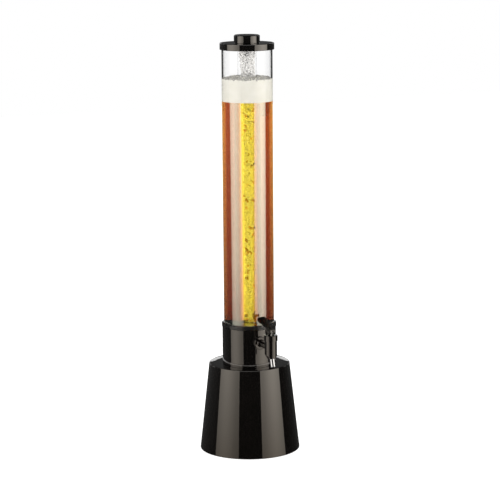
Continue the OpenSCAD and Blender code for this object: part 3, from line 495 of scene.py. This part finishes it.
finishes = {
    standAbs: ["base_shell"],
    coverAbs: ["collar", "collar_floor", "lid", "neck_ring", "ice_cap"],
    tapAbs: ["tap_body", "tap_nut", "tap_bonnet", "lever"],
    rubberMoulded: ["rubber_pads", "outer_washer", "piston_ring"],
    siliconeMoulded: ["tube_gasket", "inner_washer", "valve_rubber", "lid_seal", "cap_gasket"],
    steelTurned: ["collar_screws", "plunger_spring", "lever_pin"],
    chromePlate: ["spout_sleeve"],
    acetalTurned: ["plunger_stem"],
    dryAcrylic: ["ice_tube_plug"],
}
for material, names in finishes.items():
    for name in names:
        nodes[name].data.materials.clear()
        nodes[name].data.materials.append(material)
print("nodes finished")


def newPiece(name, bm, materials, sharp=35):
    mesh = bpy.data.meshes.new(name)
    bm.to_mesh(mesh)
    bm.free()
    for material in materials:
        mesh.materials.append(material)
    mesh.shade_smooth()
    mesh.set_sharp_from_angle(angle=math.radians(sharp))
    piece = bpy.data.objects.new(name, mesh)
    scene.collection.objects.link(piece)
    return piece


# Keeps the mesh that a holder's modifiers make, as a plain piece
def settle(name, holder):
    graph = bpy.context.evaluated_depsgraph_get()
    mesh = bpy.data.meshes.new_from_object(holder.evaluated_get(graph), depsgraph=graph)
    mesh.name = name
    holder.modifiers.clear()
    bpy.data.objects.remove(holder)
    piece = bpy.data.objects.new(name, mesh)
    scene.collection.objects.link(piece)
    return piece


# Turns (radius, height, material) points about Z; a radius of 0 is a pole. The last point joins the first, unless
# closed is off, and shift moves a ring's points.
def lathe(profile, sides, closed=True, shift=None):
    bm = bmesh.new()
    rings = []
    for radius, height, _ in profile:
        if radius == 0:
            rings.append([bm.verts.new((0, 0, height * mm))])
            continue
        ring = []
        for i in range(sides):
            a = math.tau * i / sides
            r, z = shift(radius, height, a) if shift else (radius, height)
            ring.append(bm.verts.new((r * mm * math.cos(a), r * mm * math.sin(a), z * mm)))
        rings.append(ring)
    steps = list(zip(rings, rings[1:] + rings[:1], profile))
    if not closed:
        steps.pop()
    for low, high, (_, _, finish) in steps:
        for i in range(sides):
            j = (i + 1) % sides
            if len(low) == 1:
                face = bm.faces.new((low[0], high[j], high[i]))
            elif len(high) == 1:
                face = bm.faces.new((low[i], low[j], high[0]))
            else:
                face = bm.faces.new((low[i], low[j], high[j], high[i]))
            face.material_index = finish
    bmesh.ops.recalc_face_normals(bm, faces=bm.faces)
    return bm


# Clear pipes. The wall that the beer wets bends light less, so it is a zone of its own. The foot ring is cemented
# to the large pipe, and a band of black sealant lines the pipe's foot.
tube = {"outside": 50, "inside": 47, "foot": 242.5, "top": 811.5, "wetTo": 746, "edge": 0.25, "sides": 256,
        "ringOut": 54.5, "ringFoot": 251, "ringTop": 259, "ringRound": 2, "sealTo": 256}
pipe = {"outside": 18.75, "inside": 16.75, "foot": 249, "top": 826, "wetTo": 701, "edge": 0.25, "sides": 160}


def makeTube(t):
    out, into, edge = t["outside"], t["inside"], t["edge"]
    ring, low, high, turn = t["ringOut"], t["ringFoot"], t["ringTop"], t["ringRound"]
    arc = [(ring - turn + turn * math.cos(a), high - turn + turn * math.sin(a), 0)
           for a in (math.radians(15 * i) for i in range(7))]    # a quarter turn
    profile = [(out, t["foot"], 0), (out, low, 0), (ring, low, 0), *arc, (out, high, 0), (out, t["wetTo"], 1),
               (out, t["top"] - edge, 1), (out - edge, t["top"], 1), (into + edge, t["top"], 1),
               (into, t["top"] - edge, 1), (into, t["wetTo"], 2), (into, t["sealTo"], 3), (into, t["foot"], 1)]
    finishesUsed = [outerAcrylic, dryAcrylic, wetAcrylic, rubberMoulded]
    piece = newPiece("tower_pipe", lathe(profile, t["sides"]), finishesUsed, sharp=40)
    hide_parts("tower_tube", "foot_ring")
    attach(piece, "tower")


def makePipe(t):
    out, into, edge = t["outside"], t["inside"], t["edge"]
    profile = [(out, t["foot"], 0), (out, t["wetTo"], 1), (out, t["top"] - edge, 1), (out - edge, t["top"], 1),
               (into + edge, t["top"], 1), (into, t["top"] - edge, 1), (into, t["wetTo"], 2), (into, t["foot"], 1)]
    piece = newPiece("ice_pipe", lathe(profile, t["sides"]), [wetAcrylic, dryAcrylic, beadedAcrylic], sharp=30)
    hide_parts("ice_tube")
    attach(piece, "ice_tube")


makeTube(tube)
makePipe(pipe)
print("pipes ready")

# The lever again, from its own solid, with the soft edges of a moulding, which catch the lamps as thin lines
leverEdges = {"radius": 0.8, "segments": 3, "flatWithin": 1, "fromAngle": 28, "sharp": 40}    # angles in degrees


def makeLever(s):
    bm = bmesh.new()
    bm.from_mesh(nodes["lever"].data)
    bmesh.ops.remove_doubles(bm, verts=bm.verts, dist=weld)
    bmesh.ops.dissolve_limit(bm, angle_limit=math.radians(s["flatWithin"]), verts=bm.verts, edges=bm.edges)
    bmesh.ops.recalc_face_normals(bm, faces=bm.faces)
    raw = newPiece("lever_raw", bm, [tapAbs])
    bevel = raw.modifiers.new("softEdges", "BEVEL")
    bevel.width = s["radius"] * mm
    bevel.segments = s["segments"]
    bevel.limit_method = "ANGLE"
    bevel.angle_limit = math.radians(s["fromAngle"])
    piece = settle("lever_moulding", raw)
    piece.data.shade_smooth()
    piece.data.set_sharp_from_angle(angle=math.radians(s["sharp"]))
    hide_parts("lever")
    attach(piece, "lever")


makeLever(leverEdges)
print("lever ready")


def makeSpring():
    bm = bmesh.new()
    bm.from_mesh(nodes["plunger_spring"].data)
    bmesh.ops.remove_doubles(bm, verts=bm.verts, dist=weld)
    piece = newPiece("closing_coil", bm, [steelTurned], sharp=40)
    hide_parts("plunger_spring")
    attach(piece, "tower")
    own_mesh(piece)


makeSpring()
print("spring ready")

# What is in the tower in the photograph: beer round the ice tube, its foam, and crushed ice in the ice tube
beer = {"floor": 206.2, "chamber": 49.3, "ledge": 237.8, "ledgeIn": 46.3, "ledgeRise": 0.4, "pipeFoot": 243.2,
        "pipeGap": 0.6, "wall": 46.93, "surface": 701, "iceWall": 18.83, "iceFoot": 245.8, "sides": 192}
# The froth rises towards the ice tube. Its lumps are given by their heights against rough, and their number in
# each millimetre.
foam = {"bottom": 701.1, "wall": 46.9, "iceWall": 18.85, "top": 745, "frothFrom": 12, "rise": 4.5, "rough": 1.6,
        "broadLumps": (1.2, 0.09), "fineLumps": (0.4, 0.5), "sides": 144, "steps": 14, "bubbles": 420,
        "smallBubble": 0.7, "largeBubble": 2.6, "seed": 4}
# The ice column is wide and central above leanFrom, and narrow and to one side below leanTo
ice = {"radius": 11.0, "bottom": 260, "top": 803, "lump": 2.5, "smallest": (0.55, 0.55, 0.5),
       "largest": (1.0, 1.0, 1.15), "count": 7600, "seed": 11, "jag": 0.7, "topRadius": 15.0,
       "lean": (2.9, -1.25), "leanFrom": 800, "leanTo": 700}


def makeBeerBody(b):
    profile = [(0, b["floor"], 0), (b["chamber"], b["floor"], 0), (b["chamber"], b["ledge"], 0),
               (b["ledgeIn"], b["ledge"] + b["ledgeRise"], 0), (b["ledgeIn"], b["pipeFoot"] - b["pipeGap"], 0),
               (b["wall"], b["pipeFoot"], 0), (b["wall"], b["surface"], 0), (b["iceWall"], b["surface"], 0),
               (b["iceWall"], b["iceFoot"], 0), (0, b["iceFoot"], 0)]
    piece = newPiece("beer", lathe(profile, b["sides"], closed=False), [beerLiquid], sharp=30)
    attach(piece, "tower")


def makeFoamBody(f):
    def frothed(radius, height, a):
        if height < f["top"] - f["frothFrom"]:
            return radius, height
        inward = (f["wall"] - radius) / (f["wall"] - f["iceWall"])
        spot = Vector((radius * math.cos(a), radius * math.sin(a), 0))
        (broadHigh, broad), (fineHigh, fine) = f["broadLumps"], f["fineLumps"]
        # fractal takes its roughness, the step from one octave to the next, and the octaves
        lumps = noise.fractal(spot * broad, 0.9, 2.0, 4) * broadHigh + fineHigh * noise.noise(spot * fine)
        return radius, height + f["rise"] * inward + f["rough"] * lumps
    span = f["iceWall"] - f["wall"]
    top = [(f["wall"] + span * i / f["steps"], f["top"], 0) for i in range(f["steps"] + 1)]
    profile = [(f["wall"], f["bottom"], 0), *top, (f["iceWall"], f["bottom"], 0)]
    piece = newPiece("foam", lathe(profile, f["sides"], shift=frothed), [foamFroth], sharp=50)
    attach(piece, "tower")
    return piece


def newTree(name, sockets):
    tree = bpy.data.node_groups.new(name, "GeometryNodeTree")
    tree.is_modifier = True
    tree.interface.new_socket("Geometry", in_out="INPUT", socket_type="NodeSocketGeometry")
    for label, kind in sockets:
        tree.interface.new_socket(label, in_out="INPUT", socket_type=kind)
    tree.interface.new_socket("Geometry", in_out="OUTPUT", socket_type="NodeSocketGeometry")
    return tree, addNode(tree, "NodeGroupInput").outputs


def endTree(tree, geometry, material):
    real = addNode(tree, "GeometryNodeRealizeInstances", {"Geometry": geometry})
    dressed = addNode(tree, "GeometryNodeSetMaterial", {"Geometry": real, "Material": material})
    addNode(tree, "NodeGroupOutput", {"Geometry": dressed})


# Runs a tree on a mesh with its inputs set by their identifiers, and keeps the plain mesh
def grow(name, tree, values, start, smooth=False):
    holder = bpy.data.objects.new(name + "Holder", start)
    scene.collection.objects.link(holder)
    modifier = holder.modifiers.new("grow", "NODES")
    modifier.node_group = tree
    for item in tree.interface.items_tree:
        if item.in_out == "INPUT" and item.name in values:
            modifier[item.identifier] = values[item.name]
    piece = settle(name, holder)
    if smooth:
        piece.data.shade_smooth()
    return piece


# Splinters fill a round column evenly: each has a random height, angle and, by a square root, radius
def crushedIceTree(material):
    tree, given = newTree("crushedIce", [
        ("Radius", "NodeSocketFloat"), ("Top radius", "NodeSocketFloat"), ("Bottom", "NodeSocketFloat"),
        ("Top", "NodeSocketFloat"), ("Lump", "NodeSocketFloat"), ("Smallest", "NodeSocketVector"),
        ("Largest", "NodeSocketVector"), ("Jag", "NodeSocketFloat"), ("Count", "NodeSocketInt"),
        ("Lean", "NodeSocketVector"), ("Lean from", "NodeSocketFloat"), ("Lean to", "NodeSocketFloat"),
        ("Seed", "NodeSocketInt")])
    chance = addNode(tree, "FunctionNodeRandomValue", {"Seed": given["Seed"]}, data_type="FLOAT_VECTOR")
    chance = addNode(tree, "ShaderNodeSeparateXYZ", {0: chance}).outputs
    z = addNode(tree, "ShaderNodeMapRange", {"Value": chance["Z"], "To Min": given["Bottom"], "To Max": given["Top"]})
    share = addNode(tree, "ShaderNodeMapRange", {
        "Value": z, "From Min": given["Lean from"], "From Max": given["Lean to"]})
    edge = addNode(tree, "ShaderNodeMapRange", {
        "Value": share, "To Min": given["Top radius"], "To Max": given["Radius"]})
    root = addNode(tree, "ShaderNodeMath", {0: chance["X"], 1: 0.5}, operation="POWER")
    out = addNode(tree, "ShaderNodeMath", {0: root, 1: edge}, operation="MULTIPLY")
    angle = addNode(tree, "ShaderNodeMath", {0: chance["Y"], 1: math.tau}, operation="MULTIPLY")
    cosine = addNode(tree, "ShaderNodeMath", {0: angle}, operation="COSINE")
    sine = addNode(tree, "ShaderNodeMath", {0: angle}, operation="SINE")
    x = addNode(tree, "ShaderNodeMath", {0: out, 1: cosine}, operation="MULTIPLY")
    y = addNode(tree, "ShaderNodeMath", {0: out, 1: sine}, operation="MULTIPLY")
    place = addNode(tree, "ShaderNodeCombineXYZ", {"X": x, "Y": y, "Z": z})
    lean = addNode(tree, "ShaderNodeVectorMath", {0: given["Lean"], "Scale": share}, operation="SCALE")
    place = addNode(tree, "ShaderNodeVectorMath", {0: place, 1: lean}, operation="ADD")
    points = addNode(tree, "GeometryNodePoints", {"Count": given["Count"], "Position": place})
    lump = addNode(tree, "GeometryNodeMeshIcoSphere", {"Radius": given["Lump"], "Subdivisions": 1})
    turn = addNode(tree, "FunctionNodeRandomValue", {"Max": (math.tau,) * 3, "Seed": given["Seed"]},
                   data_type="FLOAT_VECTOR")
    size = addNode(tree, "FunctionNodeRandomValue", {
        "Min": given["Smallest"], "Max": given["Largest"], "Seed": given["Seed"]}, data_type="FLOAT_VECTOR")
    many = addNode(tree, "GeometryNodeInstanceOnPoints", {
        "Points": points, "Instance": lump, "Rotation": turn, "Scale": size})
    real = addNode(tree, "GeometryNodeRealizeInstances", {"Geometry": many})
    jag = addNode(tree, "ShaderNodeTexNoise", {"Scale": 420.0, "Detail": 1.0}).outputs["Color"]      # 2.4 mm jags
    jag = addNode(tree, "ShaderNodeVectorMath", {0: jag, 1: (0.5, 0.5, 0.5)}, operation="SUBTRACT")
    jag = addNode(tree, "ShaderNodeVectorMath", {0: jag, "Scale": given["Jag"]}, operation="SCALE")
    rough = addNode(tree, "GeometryNodeSetPosition", {"Geometry": real, "Offset": jag})
    endTree(tree, rough, material)
    return tree


# Bubbles sit where the froth faces up
def bubblesTree(material):
    tree, given = newTree("foamBubbles", [
        ("Per area", "NodeSocketFloat"), ("Small", "NodeSocketFloat"), ("Large", "NodeSocketFloat"),
        ("Seed", "NodeSocketInt")])
    up = addNode(tree, "ShaderNodeSeparateXYZ", {0: addNode(tree, "GeometryNodeInputNormal")}).outputs["Z"]
    onTop = addNode(tree, "FunctionNodeCompare", {0: up, 1: 0.5}, operation="GREATER_THAN")
    spread = addNode(tree, "GeometryNodeDistributePointsOnFaces", {
        "Mesh": given["Geometry"], "Selection": onTop, "Density": given["Per area"], "Seed": given["Seed"]})
    ball = addNode(tree, "GeometryNodeMeshIcoSphere", {"Radius": 1.0, "Subdivisions": 2})
    size = addNode(tree, "FunctionNodeRandomValue", {2: given["Small"], 3: given["Large"], "Seed": given["Seed"]})
    many = addNode(tree, "GeometryNodeInstanceOnPoints", {
        "Points": spread, "Instance": ball, "Scale": size.outputs[1]})
    endTree(tree, many, material)
    return tree


makeBeerBody(beer)
foamBody = makeFoamBody(foam)
foamArea = math.pi * ((foam["wall"] * mm) ** 2 - (foam["iceWall"] * mm) ** 2)
bubbles = grow("foam_bubbles", bubblesTree(bubbleFilm), {
    "Per area": foam["bubbles"] / foamArea, "Small": foam["smallBubble"] * mm, "Large": foam["largeBubble"] * mm,
    "Seed": foam["seed"]}, foamBody.data.copy(), smooth=True)
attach(bubbles, "tower")
crushed = grow("crushed_ice", crushedIceTree(iceSplinter), {
    "Radius": ice["radius"] * mm, "Top radius": ice["topRadius"] * mm, "Bottom": ice["bottom"] * mm,
    "Top": ice["top"] * mm, "Lump": ice["lump"] * mm, "Smallest": ice["smallest"], "Largest": ice["largest"],
    "Jag": ice["jag"] * mm, "Count": ice["count"], "Seed": ice["seed"],
    "Lean": (ice["lean"][0] * mm, ice["lean"][1] * mm, 0), "Lean from": ice["leanFrom"] * mm,
    "Lean to": ice["leanTo"] * mm}, bpy.data.meshes.new("iceStart"))
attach(crushed, "ice_tube")
print("contents ready:", len(crushed.data.polygons), "ice faces,", len(bubbles.data.polygons), "bubble faces")
